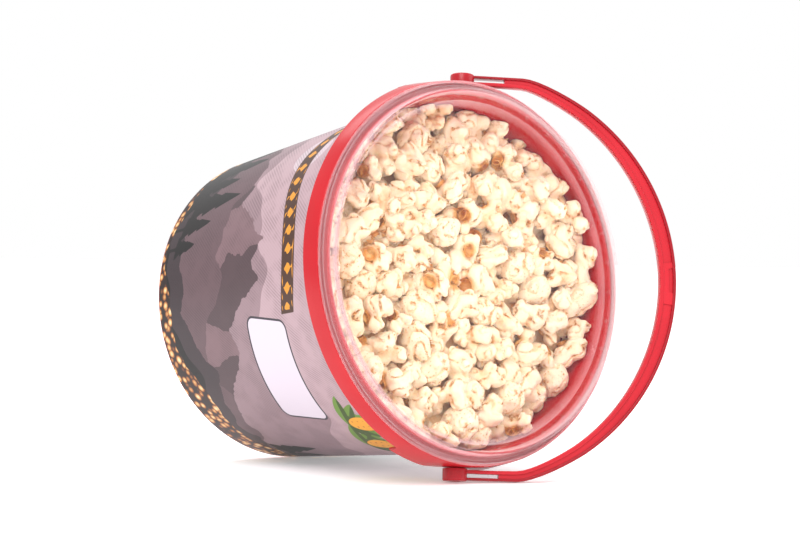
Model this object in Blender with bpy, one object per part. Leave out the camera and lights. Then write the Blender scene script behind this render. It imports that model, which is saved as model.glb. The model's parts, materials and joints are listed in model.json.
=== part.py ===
# A clear-lidded plastic pail of popcorn with a bail handle, lying on its side.
# Everything is modelled upright in the pail's own frame: Z is the pail's axis, out of its mouth, with
# Z = 0 at its foot, and Y runs through the two lugs of the handle. The pail is then laid down so that
# its base edge, its lower hub and the bulge of its handle all touch the ground.
# Sizes are in metres, with +Z up.

import math

import bpy
import bmesh
import numpy as np
from mathutils import Matrix, Vector, noise

mm = 0.001
gap = 0.3 * mm                    # clearance between pieces that touch

# Pail: a tapered wall with a foot ring, a flange, and a collar band around the flange
wall_foot_radius = 97.5 * mm      # outer radius of the wall just above the base edge
wall_top_radius = 105.3 * mm      # outer radius of the wall at the flange
wall_thickness = 1.4 * mm
foot_height = 2.2 * mm            # the base is raised by this inside its foot ring
floor_height = 3.8 * mm           # inner floor
flange_height = 189.3 * mm        # underside of the flange that carries the collar
flange_thickness = 1.6 * mm
collar_height = 194.5 * mm        # upper edge of the collar band
collar_radius = 113.0 * mm        # at its upper edge
collar_skirt_radius = 115.5 * mm  # at its lower edge
collar_depth = 10.4 * mm
lug_depth = 18.5 * mm             # the band is deeper beside each lug
lug_half_angle = 23.6             # degrees that the deeper stretch covers each side of a lug
pad_distance = 113.3 * mm         # flat on the band under each hub, from the pail's axis
rim_height = 196.3 * mm           # top of the pail's own rim, inside the lid
columns = 60                      # facets around the pail

# Lid: a lip over the collar, a raised stacking ring, a shelf and a sunken panel
lid_thickness = 1.0 * mm
lid_lip_radius = 112.9 * mm
lid_crest_height = 197.8 * mm
lid_ring_height = 203.9 * mm
lid_ring_radius = 105.9 * mm
lid_shelf_height = 197.4 * mm
lid_shelf_radius = 104.0 * mm
lid_panel_height = 191.5 * mm
lid_panel_radius = 97.3 * mm

# Popcorn: fills the pail to a slope a little below the lid
heap_level = 178.5 * mm           # height of the heap on the pail's axis
heap_slope = 0.042                # rise towards the lower lug
heap_slump = 20.0 * mm            # how far it falls away under the upper side of the wall
heap_lump = 3.0 * mm              # unevenness of its top
heap_lump_size = 21.0 * mm
heap_rings = 9

# Handle: two pegs in the collar, two hubs, and an arch of I section
pivot_height = 179.5 * mm
hub_radius = 7.2 * mm
hub_inner = 113.7 * mm            # distances along the lug axis
hub_outer = 121.0 * mm
peg_radius = 2.3 * mm
peg_head_radius = 3.0 * mm
peg_end = 108.7 * mm
arm_outer = 120.4 * mm            # outer face of each arm
arm_straight = 36.3 * mm
arch_radius = 125.4 * mm
arch_centre = 5.1 * mm
arch_start = 35.0                 # degrees above the lug axis where the arch proper begins
depth_at_hub = 6.0 * mm           # depth of the section in the handle's plane
depth_at_arm = 5.5 * mm
depth_at_arch = 9.7 * mm
section_width = 6.5 * mm
web_thickness = 1.8 * mm
grip_web_thickness = 3.2 * mm
grip_half_length = 13.0 * mm
slot_end = 25.4 * mm              # the web is left out between the hub and here
handle_swing = 59.5               # degrees from straight out of the mouth, to the side


def material(name, colour, roughness, alpha=1.0):
    mat = bpy.data.materials.new(name)
    mat.use_nodes = True
    shader = mat.node_tree.nodes["Principled BSDF"]
    shader.inputs["Base Color"].default_value = (*colour, 1.0)
    shader.inputs["Roughness"].default_value = roughness
    shader.inputs["Metallic"].default_value = 0.0
    shader.inputs["Alpha"].default_value = alpha
    mat.diffuse_color = (*colour, alpha)
    return mat


def add_object(name, bm, mat, parent):
    bmesh.ops.recalc_face_normals(bm, faces=bm.faces)
    mesh = bpy.data.meshes.new(name)
    bm.to_mesh(mesh)
    bm.free()
    obj = bpy.data.objects.new(name, mesh)
    bpy.context.scene.collection.objects.link(obj)
    obj.data.materials.append(mat)
    mesh.shade_smooth()
    mesh.set_sharp_from_angle(angle=math.radians(30))
    obj.parent = parent
    return obj


def add_empty(name, parent=None):
    empty = bpy.data.objects.new(name, None)
    bpy.context.scene.collection.objects.link(empty)
    empty.parent = parent
    return empty


def smooth_step(x):
    x = min(max(x, 0.0), 1.0)
    return x * x * (3 - 2 * x)


def blend(low, high, x):
    return low + (high - low) * x


# A turned shape: profile(angle) gives the section's points from the axis' lower cap, round the outside,
# to its upper cap.
def turn(angles, profile):
    bm = bmesh.new()
    rows = [
        [bm.verts.new((r * math.cos(a), r * math.sin(a), z)) for r, z in profile(a)]
        for a in angles
    ]
    for one, two in zip(rows, rows[1:] + rows[:1]):
        for i in range(len(one) - 1):
            bm.faces.new((one[i], two[i], two[i + 1], one[i + 1]))
    bm.faces.new([row[0] for row in reversed(rows)])
    bm.faces.new([row[-1] for row in rows])
    return bm


def even_angles():
    return [2 * math.pi * i / columns for i in range(columns)]


def angle_to_lug(a):
    return abs((math.degrees(a) + 360) % 180 - 90)


# The facets nearest each end of the deeper band are moved to stand just inside and just outside it
def pail_angles():
    kept = [a for a in even_angles() if abs(angle_to_lug(a) - lug_half_angle) > 2.0]
    edges = []
    for lug in (90, 270):
        for side in (-1, 1):
            for shift in (-0.6, 0.6):
                edges.append(math.radians(lug + side * (lug_half_angle + shift)))
    return sorted(kept + edges)


def wall_outer(z):
    low = 2.8 * mm
    return blend(wall_foot_radius, wall_top_radius, (z - low) / (flange_height - low))


def collar_outer(z):
    drop = min((collar_height - z) / collar_depth, 1.0)
    return blend(collar_radius, collar_skirt_radius, drop)


def pail_profile(a):
    lug = angle_to_lug(a)
    depth = lug_depth if lug < lug_half_angle else collar_depth
    skirt_end = collar_height - depth
    across = math.cos(math.radians(lug))
    skin = 1.4 * mm

    def band(z):
        return min(collar_outer(z), pad_distance / across)

    def band_inside(z):
        return min(collar_outer(z) - skin, (pad_distance - skin) / across)

    flange_top = flange_height + flange_thickness
    groove_outer = 111.5 * mm
    rim_outer = 107.6 * mm
    rim_inner = 105.2 * mm
    return [
        (84.0 * mm, foot_height),
        (86.0 * mm, 0.0),
        (94.6 * mm, 0.0),
        (96.6 * mm, 0.9 * mm),
        (wall_foot_radius, 2.8 * mm),
        (wall_outer(90 * mm), 90 * mm),
        (wall_top_radius, flange_height),
        (band_inside(flange_height), flange_height),
        (band_inside(skirt_end), skirt_end),
        (band(skirt_end), skirt_end),
        (band(collar_height - 8 * mm), collar_height - 8 * mm),
        (band(collar_height - 0.5 * mm), collar_height - 0.5 * mm),
        (collar_radius - 0.6 * mm, collar_height),
        (groove_outer, collar_height),
        (groove_outer, flange_top),
        (rim_outer, flange_top),
        (rim_outer, rim_height - 0.6 * mm),
        (rim_outer - 0.7 * mm, rim_height),
        (rim_inner + 0.6 * mm, rim_height),
        (rim_inner, rim_height - 0.6 * mm),
        (rim_inner, flange_top),
        (wall_outer(flange_height) - wall_thickness, flange_height),
        (wall_outer(90 * mm) - wall_thickness, 90 * mm),
        (wall_outer(8 * mm) - wall_thickness, 8 * mm),
        (92.6 * mm, floor_height),
    ]


def lid_profile(a):
    ring = lid_ring_radius
    return [
        (lid_panel_radius - 0.2 * mm, lid_panel_height - lid_thickness),
        (lid_panel_radius + 1.2 * mm, lid_panel_height - 0.4 * mm),
        (101.3 * mm, lid_shelf_height - lid_thickness),
        (lid_shelf_radius + 0.4 * mm, lid_shelf_height - lid_thickness),
        (ring - 0.7 * mm, lid_shelf_height - 0.6 * mm),
        (ring - 0.3 * mm, lid_ring_height - lid_thickness),
        (ring + 0.3 * mm, lid_ring_height - lid_thickness),
        (ring + 1.1 * mm, lid_shelf_height - 0.3 * mm),
        (107.9 * mm, lid_shelf_height - 0.7 * mm),
        (109.7 * mm, lid_shelf_height - 0.8 * mm),
        (109.9 * mm, flange_height + flange_thickness + 0.4 * mm),
        (111.2 * mm, flange_height + flange_thickness + 0.4 * mm),
        (111.2 * mm, collar_height + gap),
        (lid_lip_radius, collar_height + gap),
        (lid_lip_radius, collar_height + 0.9 * mm),
        (111.6 * mm, lid_crest_height - 0.4 * mm),
        (110.8 * mm, lid_crest_height),
        (108.4 * mm, lid_crest_height - 0.3 * mm),
        (107.8 * mm, lid_crest_height + 0.2 * mm),
        (ring + 1.1 * mm, lid_ring_height - 0.5 * mm),
        (ring + 0.5 * mm, lid_ring_height),
        (ring - 0.4 * mm, lid_ring_height),
        (ring - 1.0 * mm, lid_ring_height - 0.5 * mm),
        (lid_shelf_radius + 0.3 * mm, lid_shelf_height + 0.5 * mm),
        (lid_shelf_radius - 0.3 * mm, lid_shelf_height),
        (101.0 * mm, lid_shelf_height),
        (100.4 * mm, lid_shelf_height - 0.4 * mm),
        (lid_panel_radius + 0.3 * mm, lid_panel_height + 0.4 * mm),
        (lid_panel_radius - 0.5 * mm, lid_panel_height),
    ]


# Height of the heap: a slope with lumps, slumped away from the wall on its upper side
def heap_height(x, y):
    bump = noise.noise(Vector((x, y, 0.017)) / heap_lump_size)
    fine = noise.noise(Vector((x, y, 0.09)) / (0.45 * heap_lump_size))
    slump = smooth_step((y - 20 * mm) / (84 * mm))
    return heap_level - heap_slope * y - heap_slump * slump + heap_lump * (1.5 * bump + 0.8 * fine)


def heap_mesh():
    bm = bmesh.new()
    inside = wall_thickness + 0.6 * mm
    angles = even_angles()
    levels = (0.0, 0.35, 0.7, 1.0)
    foot_z = floor_height + gap
    foot_r = 91.8 * mm
    low_z = 9 * mm
    rows = []
    for a in angles:
        c, s = math.cos(a), math.sin(a)
        edge = wall_outer(160 * mm) - inside
        top = heap_height(edge * c, edge * s) - 1.5 * mm
        row = [bm.verts.new((foot_r * c, foot_r * s, foot_z))]
        for level in levels:
            z = blend(low_z, top, level)
            r = wall_outer(z) - inside
            row.append(bm.verts.new((r * c, r * s, z)))
        for i in range(1, heap_rings):
            r = edge * (1 - i / heap_rings)
            row.append(bm.verts.new((r * c, r * s, heap_height(r * c, r * s))))
        rows.append(row)
    for one, two in zip(rows, rows[1:] + rows[:1]):
        for i in range(len(one) - 1):
            bm.faces.new((one[i], two[i], two[i + 1], one[i + 1]))
    bm.faces.new([row[0] for row in reversed(rows)])
    peak = bm.verts.new((0, 0, heap_height(0, 0)))
    for one, two in zip(rows, rows[1:] + rows[:1]):
        bm.faces.new((one[-1], two[-1], peak))
    return bm


# Half of the handle's outer line, from its hub to the top of the arch: points with their outward
# normals, in the plane where u runs along the lug axis and v away from it
def handle_half():
    turn_at = math.radians(arch_start)
    start = Vector((arm_outer, arm_straight))
    end = Vector((arch_radius * math.cos(turn_at), arch_centre + arch_radius * math.sin(turn_at)))
    reach = 10.2 * mm
    one = start + Vector((0, reach))
    two = end - Vector((-math.sin(turn_at), math.cos(turn_at))) * reach
    line = [Vector((arm_outer, v)) for v in (3 * mm, 14 * mm, slot_end)]
    for i in range(6):
        t = i / 6
        line.append(
            start * (1 - t) ** 3 + one * 3 * t * (1 - t) ** 2 + two * 3 * t * t * (1 - t) + end * t ** 3
        )
    grip = math.pi / 2 - grip_half_length / arch_radius
    edge = 0.25 * mm / arch_radius
    turns = [blend(turn_at, grip - edge, i / 11) for i in range(12)]
    turns += [grip + edge, blend(grip, math.pi / 2, 0.5), math.pi / 2]
    for a in turns:
        line.append(Vector((arch_radius * math.cos(a), arch_centre + arch_radius * math.sin(a))))
    return line


def handle_stations():
    half = handle_half()
    line = half + [Vector((-p.x, p.y)) for p in reversed(half[:-1])]
    length = [0.0]
    for one, two in zip(line, line[1:]):
        length.append(length[-1] + (two - one).length)
    stations = []
    for i, p in enumerate(line):
        before, after = line[max(i - 1, 0)], line[min(i + 1, len(line) - 1)]
        along = (after - before).normalized()
        outward = Vector((along.y, -along.x))
        if i in (0, len(line) - 1):
            outward = Vector((math.copysign(1.0, p.x), 0.0))
        run = min(length[i], length[-1] - length[i]) + 3 * mm
        stations.append((p, outward, run, abs(length[i] - length[-1] / 2)))
    return stations


# The section is two flanges with a web between them. Where the web is left out, each flange is
# closed on its own.
def handle_mesh():
    bm = bmesh.new()
    sections = []
    for p, outward, run, from_top in handle_stations():
        depth = blend(depth_at_hub, depth_at_arm, smooth_step(run / (30 * mm)))
        depth = blend(depth, depth_at_arch, smooth_step((run + 7.6 * mm) / (175.9 * mm)))
        grown = smooth_step((run - slot_end) / (50 * mm))
        outer_flange = blend(1.5, 1.8, grown) * mm
        inner_flange = blend(1.4, 2.5, grown) * mm
        web = grip_web_thickness if from_top < grip_half_length else web_thickness

        def ring(offset, half_width):
            at = p - outward * offset
            return bm.verts.new((half_width, at.x, at.y))

        half = section_width / 2
        outer = [ring(0, half), ring(outer_flange, half), ring(outer_flange, web / 2)]
        outer += [ring(outer_flange, -web / 2), ring(outer_flange, -half), ring(0, -half)]
        inner = [ring(depth, -half), ring(depth - inner_flange, -half)]
        inner += [ring(depth - inner_flange, -web / 2), ring(depth - inner_flange, web / 2)]
        inner += [ring(depth - inner_flange, half), ring(depth, half)]
        sections.append((outer, inner, run > slot_end - 0.1 * mm))
    for one, two in zip(sections, sections[1:]):
        webbed = one[2] and two[2]
        for k in (0, 1):
            for i in range(6):
                j = (i + 1) % 6
                if webbed and i == 2:
                    continue
                bm.faces.new((one[k][i], two[k][i], two[k][j], one[k][j]))
        if webbed:
            bm.faces.new((one[0][2], one[1][3], two[1][3], two[0][2]))
            bm.faces.new((one[0][3], two[0][3], two[1][2], one[1][2]))
    for k in (0, 1):
        bm.faces.new(sections[0][k])
        bm.faces.new(sections[-1][k])
    for one, two in zip(sections, sections[1:]):
        if one[2] != two[2]:
            outer, inner, _ = two if two[2] else one
            bm.faces.new((outer[2], outer[3], inner[2], inner[3]))
    return bm


# A hub with its peg and the peg's snap head, turned about the lug axis on the side given
def hub_mesh(side):
    bevel = 0.7 * mm
    points = [
        (peg_head_radius - 0.5 * mm, peg_end),
        (peg_head_radius, peg_end + 0.5 * mm),
        (peg_head_radius, peg_end + 1.2 * mm),
        (peg_radius, peg_end + 2.0 * mm),
        (peg_radius, hub_inner),
        (hub_radius, hub_inner),
        (hub_radius, hub_outer - bevel),
        (hub_radius - bevel, hub_outer),
    ]
    bm = turn([2 * math.pi * i / 24 for i in range(24)], lambda a: points)
    bm.transform(Matrix.Rotation(-side * math.pi / 2, 4, "X"))
    return bm


def add_boolean(obj, other, operation):
    other.hide_render = True
    other.display_type = "WIRE"
    cut = obj.modifiers.new(operation.title(), "BOOLEAN")
    cut.operation = operation
    cut.solver = "EXACT"
    cut.object = other


# The point of a group that reaches furthest in a direction
def furthest(points, direction):
    return points[int(np.argmax(points @ direction))]


# The pail lies on three groups of points. The ground's normal is found by picking the lowest point
# of each group and turning the ground to touch all three, until the choice no longer changes.
def ground_normal(groups):
    down = np.array((0.1, -1.0, 0.1))
    for _ in range(30):
        a, b, c = (furthest(group, down) for group in groups)
        normal = np.cross(b - a, c - a)
        normal /= np.linalg.norm(normal)
        down = normal if normal @ down > 0 else -normal
    return -down


def world_points(obj):
    shape = obj.evaluated_get(bpy.context.evaluated_depsgraph_get())
    turned = shape.matrix_world
    return np.array([turned @ v.co for v in shape.data.vertices])


def main():
    for obj in list(bpy.data.objects):
        bpy.data.objects.remove(obj, do_unlink=True)

    red = material("red_polypropylene", (0.73, 0.03, 0.04), 0.3)
    bail_red = material("bail_red_polypropylene", (0.68, 0.02, 0.03), 0.3)
    clear = material("clear_polypropylene", (0.92, 0.92, 0.92), 0.08, 0.35)
    corn = material("popped_corn", (0.93, 0.80, 0.55), 0.75)

    root = add_empty("rest_point")
    axes = add_empty("pail_axes", root)
    hinge = add_empty("handle_hinge", axes)
    hinge.location = (0, 0, pivot_height)
    hinge.rotation_euler = (0, math.radians(handle_swing), 0)

    pail = add_object("pail", turn(pail_angles(), pail_profile), red, axes)
    lid = add_object("lid", turn(even_angles(), lid_profile), clear, axes)
    heap = add_object("popcorn", heap_mesh(), corn, axes)
    handle = add_object("handle", handle_mesh(), bail_red, hinge)

    drill = bmesh.new()
    bmesh.ops.create_cone(
        drill, cap_ends=True, segments=24, radius1=peg_radius + gap, radius2=peg_radius + gap,
        depth=12 * mm,
    )
    drill.transform(Matrix.Rotation(math.pi / 2, 4, "X") @ Matrix.Rotation(math.radians(4), 4, "Z"))
    for side, name in ((1, "upper"), (-1, "lower")):
        hub = add_object(name + "_hub", hub_mesh(side), bail_red, hinge)
        add_boolean(handle, hub, "UNION")
        cutter = add_object(name + "_peg_hole", drill.copy(), red, axes)
        cutter.location = (0, side * pad_distance, pivot_height)
        add_boolean(pail, cutter, "DIFFERENCE")
    drill.free()

    bpy.context.view_layer.update()
    pail_points = world_points(pail)
    handle_points = world_points(handle)
    base_edge = pail_points[pail_points[:, 2] < 4 * mm]
    lower_hub = handle_points[handle_points[:, 1] < -(arm_outer + 0.1 * mm)]
    lower_hub = lower_hub[np.abs(lower_hub[:, 2] - pivot_height) < hub_radius + 1 * mm]
    bulge = handle_points[handle_points[:, 0] > 30 * mm]
    up = Vector(ground_normal((base_edge, lower_hub, bulge)))
    axis = Vector((0, 0, 1))
    back = -(axis - up * axis.dot(up)).normalized()
    across = back.cross(up)
    axes.matrix_local = Matrix((across, back, up)).to_4x4()

    bpy.context.view_layer.update()
    every = np.concatenate([world_points(obj) for obj in (pail, lid, heap, handle)])
    low, high = every.min(axis=0), every.max(axis=0)
    root.location = (-(low[0] + high[0]) / 2, -(low[1] + high[1]) / 2, -low[2])
    bpy.context.view_layer.update()


main()
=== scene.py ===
import json
import math
import random
import bpy
import numpy as np
from mathutils import Matrix, Vector, noise
from mathutils.bvhtree import BVHTree

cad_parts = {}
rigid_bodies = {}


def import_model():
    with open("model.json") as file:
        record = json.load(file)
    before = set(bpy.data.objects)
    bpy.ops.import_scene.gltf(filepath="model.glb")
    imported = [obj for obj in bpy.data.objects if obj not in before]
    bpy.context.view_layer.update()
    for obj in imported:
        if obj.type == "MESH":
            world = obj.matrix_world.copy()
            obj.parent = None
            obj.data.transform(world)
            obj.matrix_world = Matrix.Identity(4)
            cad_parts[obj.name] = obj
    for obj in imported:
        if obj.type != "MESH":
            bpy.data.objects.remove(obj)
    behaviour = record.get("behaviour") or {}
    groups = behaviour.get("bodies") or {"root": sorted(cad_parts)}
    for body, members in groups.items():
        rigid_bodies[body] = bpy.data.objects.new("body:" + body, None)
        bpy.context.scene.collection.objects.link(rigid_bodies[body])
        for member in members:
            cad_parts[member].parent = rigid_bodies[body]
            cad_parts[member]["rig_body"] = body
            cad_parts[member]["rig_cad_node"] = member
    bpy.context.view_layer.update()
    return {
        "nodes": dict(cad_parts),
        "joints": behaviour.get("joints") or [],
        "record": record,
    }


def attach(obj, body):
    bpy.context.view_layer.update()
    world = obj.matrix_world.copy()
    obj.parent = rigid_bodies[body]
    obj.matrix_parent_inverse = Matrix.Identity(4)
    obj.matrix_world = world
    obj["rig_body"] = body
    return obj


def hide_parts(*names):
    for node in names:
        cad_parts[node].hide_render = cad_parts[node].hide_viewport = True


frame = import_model()

# Every piece is modelled upright, in millimetres: Z is the pail's axis with its foot at 0, and Y runs
# through the two lugs of the handle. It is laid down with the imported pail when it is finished.
mm = 0.001
pivotHeight = 179.5

hinge = frame["joints"][0]
hingeAt = Vector(hinge["pos_m"])
mouthAxis = -Vector(frame["record"]["mounts"][0]["axis"]).normalized()
lugAxis = Vector(hinge["axis"])
lugAxis = (lugAxis - mouthAxis * lugAxis.dot(mouthAxis)).normalized()
sideAxis = lugAxis.cross(mouthAxis)


def axesAt(place, x, y, z):
    return Matrix.Translation(place) @ Matrix((x, y, z)).transposed().to_4x4() @ Matrix.Scale(mm, 4)


pailPlace = axesAt(hingeAt - mouthAxis * pivotHeight * mm, sideAxis, lugAxis, mouthAxis)
pailInverse = pailPlace.inverted()

# The handle's own frame: Y along the pivots, Z out to the middle of the arch
toArch = sum(((v.co - hingeAt) for v in frame["nodes"]["handle"].data.vertices), Vector())
armAxis = (toArch - lugAxis * toArch.dot(lugAxis)).normalized()
handlePlace = axesAt(hingeAt, lugAxis.cross(armAxis), lugAxis, armAxis)


def linearColour(hexCode):
    channels = [int(hexCode[i:i + 2], 16) / 255 for i in (1, 3, 5)]
    linear = [c / 12.92 if c <= 0.04045 else ((c + 0.055) / 1.055) ** 2.4 for c in channels]
    return (*linear, 1.0)


def addNode(tree, kind, inputs=None, **settings):
    node = tree.nodes.new("ShaderNode" + kind)
    for name, value in settings.items():
        setattr(node, name, value)
    for name, value in (inputs or {}).items():
        if isinstance(value, bpy.types.NodeSocket):
            tree.links.new(value, node.inputs[name])
        else:
            node.inputs[name].default_value = value
    return node


# A material with the settings that are the same all over it, each on the shader's own socket
def newMaterial(name, settings):
    material = bpy.data.materials.new(name)
    material.use_nodes = True
    tree = material.node_tree
    surface = tree.nodes["Principled BSDF"]
    for socket, value in settings.items():
        surface.inputs[socket].default_value = value
    return material, tree, surface


def setRamp(node, stops):
    ramp = node.color_ramp
    while len(ramp.elements) < len(stops):
        ramp.elements.new(0.5)
    for element, (place, hexCode) in zip(ramp.elements, stops):
        element.position = place
        element.color = linearColour(hexCode)
    return node


def smoothStep(x):
    x = min(max(x, 0.0), 1.0)
    return x * x * (3 - 2 * x)


def blend(low, high, x):
    return low + (high - low) * x


# Patterns in the red plastic, in millimetres
redSizes = {"cloud": 45, "peel": 2.2, "peelDepth": 0.05}
polypropyleneIor = 1.49


def redPolypropylene(name, hexCode, deepHex, paintedShadeHex, roughness):
    # Injection-moulded polypropylene, pigmented right through: a soft gloss with a faint orange peel
    material, tree, surface = newMaterial(
        name, {"Roughness": roughness, "IOR": polypropyleneIor, "Specular IOR Level": 0.38})
    at = addNode(tree, "TexCoord").outputs["Object"]
    clouds = addNode(tree, "TexNoise", {"Vector": at, "Scale": 1 / (redSizes["cloud"] * mm), "Detail": 2.0})
    tone = setRamp(
        addNode(tree, "ValToRGB", {"Fac": clouds.outputs["Fac"]}), [(0.35, deepHex), (0.65, hexCode)])
    # Painted shade: the thin flanges and the hubs are mixed toward a darker red, for the shade that falls on
    # them
    hatchAndPaintedShade = addNode(tree, "Attribute", attribute_name="hatchAndPaintedShade")
    shade = addNode(
        tree, "MixRGB",
        {"Fac": hatchAndPaintedShade.outputs["Fac"], "Color1": tone.outputs["Color"], "Color2": linearColour(paintedShadeHex)},
    )
    tree.links.new(shade.outputs["Color"], surface.inputs["Base Color"])
    peel = addNode(tree, "TexNoise", {"Vector": at, "Scale": 1 / (redSizes["peel"] * mm), "Detail": 1.0})
    bump = addNode(
        tree, "Bump",
        {"Height": peel.outputs["Fac"], "Strength": 0.05, "Distance": redSizes["peelDepth"] * mm},
    )
    tree.links.new(bump.outputs["Normal"], surface.inputs["Normal"])
    return material


collarRed = redPolypropylene("glossyRedPolypropylene", "#B4151F", "#AB111C", "#8E0A1A", 0.24)
bailRed = redPolypropylene("bailRedPolypropylene", "#BE1C2A", "#B61826", "#900818", 0.27)


# How milky the clear plastic is face on, edge on, and for each step of its layer of rim milk and painted
# highlight lines
clearMilk = {"facing": 0.015, "edgeOn": 0.34, "milkAndPaintedHighlight": 0.05}


def clearPolypropylene():
    # Clarified polypropylene, thin and slightly milky: clear face on, whiter where it is seen edge on
    material, tree, surface = newMaterial(
        "clarifiedPolypropylene",
        {"Base Color": linearColour("#FFDCE0"), "Roughness": 0.09, "IOR": polypropyleneIor},
    )
    clear = addNode(tree, "BsdfTransparent", {"Color": (1, 1, 1, 1)})
    facing = addNode(tree, "LayerWeight", {"Blend": 0.35})
    milk = addNode(
        tree, "MapRange",
        {"Value": facing.outputs["Facing"], "From Min": 0.15, "From Max": 1.0,
         "To Min": clearMilk["facing"], "To Max": clearMilk["edgeOn"]},
    )
    # Painted highlight: this layer makes the rim a little milkier and the lines at the ring edges much
    # whiter
    milkAndPaintedHighlight = addNode(tree, "Attribute", attribute_name="milkAndPaintedHighlight")
    milky = addNode(
        tree, "Math", {0: milkAndPaintedHighlight.outputs["Fac"], 1: clearMilk["milkAndPaintedHighlight"], 2: milk.outputs["Result"]},
        operation="MULTIPLY_ADD",
    )
    mix = addNode(
        tree, "MixShader",
        {0: milky.outputs["Value"], 1: clear.outputs["BSDF"], 2: surface.outputs["BSDF"]},
    )
    tree.links.new(mix.outputs["Shader"], tree.nodes["Material Output"].inputs["Surface"])
    return material


clearLid = clearPolypropylene()


# Patterns of the foam and how deep light goes into it, in millimetres
foamSizes = {"patch": 6, "dot": 2.0, "fleck": 3.4, "pit": 0.9, "pitDepth": 0.25, "glow": 3.5}


def popcornFoam(name, inks):
    # Popped starch foam: matt and cream, golden where it folds in with painted shade deepening the folds,
    # brown in its torn hull cups
    material, tree, surface = newMaterial(name, {
        "Roughness": 0.75, "IOR": 1.35, "Subsurface Weight": 0.35,
        "Subsurface Radius": (1.0, 0.62, 0.38), "Subsurface Scale": foamSizes["glow"] * mm,
    })
    at = addNode(tree, "TexCoord").outputs["Object"]
    foldTintAndShade, toast, bran, speckle = (
        addNode(tree, "Attribute", attribute_name=layer).outputs["Fac"]
        for layer in ("foldTintAndShade", "toast", "bran", "speckle"))
    patch = addNode(tree, "TexNoise", {"Vector": at, "Scale": 1 / (foamSizes["patch"] * mm), "Detail": 3.0})
    patchy = addNode(
        tree, "MapRange",
        {"Value": patch.outputs["Fac"], "From Min": 0.3, "From Max": 0.7, "To Min": -0.12, "To Max": 0.16},
    )
    # Painted shade: the fold share, shifted by patches and toasting, picks darker golden tones from the ramp
    depth = addNode(
        tree, "Math", {0: foldTintAndShade, 1: patchy.outputs["Result"]}, operation="ADD")
    deeper = addNode(
        tree, "Math", {0: depth.outputs["Value"], 1: toast}, operation="ADD")
    tone = setRamp(addNode(tree, "ValToRGB", {"Fac": deeper.outputs["Value"]}), inks)
    # Brown pin pricks, where the skin of a round kernel is pitted
    dots = addNode(tree, "TexVoronoi", {"Vector": at, "Scale": 1 / (foamSizes["dot"] * mm)})
    dotMask = addNode(
        tree, "MapRange",
        {"Value": dots.outputs["Distance"], "From Min": 0.12, "From Max": 0.26,
         "To Min": 1.0, "To Max": 0.0},
    )
    dotShare = addNode(
        tree, "Math", {0: dotMask.outputs["Result"], 1: speckle}, operation="MULTIPLY")
    dotted = addNode(
        tree, "MixRGB",
        {"Fac": dotShare.outputs["Value"], "Color1": tone.outputs["Color"],
         "Color2": linearColour("#D9A262")},
    )
    # Scraps of toasted skin left in the folds
    fleck = addNode(tree, "TexNoise", {"Vector": at, "Scale": 1 / (foamSizes["fleck"] * mm), "Detail": 3.0})
    fleckFold = addNode(
        tree, "Math", {0: foldTintAndShade, 1: 0.3, 2: fleck.outputs["Fac"]}, operation="MULTIPLY_ADD")
    fleckMask = addNode(
        tree, "MapRange",
        {"Value": fleckFold.outputs["Value"], "From Min": 0.75, "From Max": 0.86, "To Max": 0.7},
    )
    flecked = addNode(
        tree, "MixRGB",
        {"Fac": fleckMask.outputs["Result"], "Color1": dotted.outputs["Color"],
         "Color2": linearColour("#CC8A48")},
    )
    hull = setRamp(
        addNode(tree, "ValToRGB", {"Fac": patch.outputs["Fac"]}),
        [(0.35, "#B9773F"), (0.5, "#D69A55"), (0.65, "#EBC083")],
    )
    colour = addNode(
        tree, "MixRGB",
        {"Fac": bran, "Color1": flecked.outputs["Color"], "Color2": hull.outputs["Color"]},
    )
    tree.links.new(colour.outputs["Color"], surface.inputs["Base Color"])
    pits = addNode(tree, "TexNoise", {"Vector": at, "Scale": 1 / (foamSizes["pit"] * mm), "Detail": 2.0})
    bump = addNode(
        tree, "Bump",
        {"Height": pits.outputs["Fac"], "Strength": 0.35, "Distance": foamSizes["pitDepth"] * mm},
    )
    tree.links.new(bump.outputs["Normal"], surface.inputs["Normal"])
    return material


foam = popcornFoam(
    "poppedStarchFoam", [(0.0, "#FBE5C9"), (0.4, "#F5D8B1"), (0.75, "#E8BF90"), (1.0, "#CC9662")])


def kernelHullSkin():
    # Bran skin of the kernel: thin, hard and shiny, amber to brown
    material, tree, surface = newMaterial("amberBranSkin", {"Roughness": 0.35})
    at = addNode(tree, "TexCoord").outputs["Object"]
    patch = addNode(tree, "TexNoise", {"Vector": at, "Scale": 1 / (foamSizes["patch"] * mm), "Detail": 2.0})
    tone = setRamp(
        addNode(tree, "ValToRGB", {"Fac": patch.outputs["Fac"]}),
        [(0.3, "#B5692B"), (0.5, "#DB9A4A"), (0.7, "#F0BE72")],
    )
    tree.links.new(tone.outputs["Color"], surface.inputs["Base Color"])
    return material


branSkin = kernelHullSkin()
print("materials made")


def deselectAll():
    bpy.ops.object.select_all(action="DESELECT")


def activate(piece):
    deselectAll()
    piece.select_set(True)
    bpy.context.view_layer.objects.active = piece


def applyModifier(piece, kind, **settings):
    activate(piece)
    modifier = piece.modifiers.new(kind.title(), kind)
    for name, value in settings.items():
        setattr(modifier, name, value)
    bpy.ops.object.modifier_apply(modifier=modifier.name)


def joinAll(pieces, name):
    deselectAll()
    for piece in pieces:
        piece.select_set(True)
    bpy.context.view_layer.objects.active = pieces[0]
    if len(pieces) > 1:
        bpy.ops.object.join()
    pieces[0].name = name
    return pieces[0]


def finishPiece(piece, material, body, place, smoothAngle=35):
    if material:
        piece.data.materials.clear()
        piece.data.materials.append(material)
    activate(piece)
    bpy.ops.object.transform_apply(location=True, rotation=True, scale=True)
    bpy.ops.object.shade_smooth_by_angle(angle=math.radians(smoothAngle))
    piece.data.transform(place)
    piece.data.update()
    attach(piece, body)
    return piece


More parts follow.
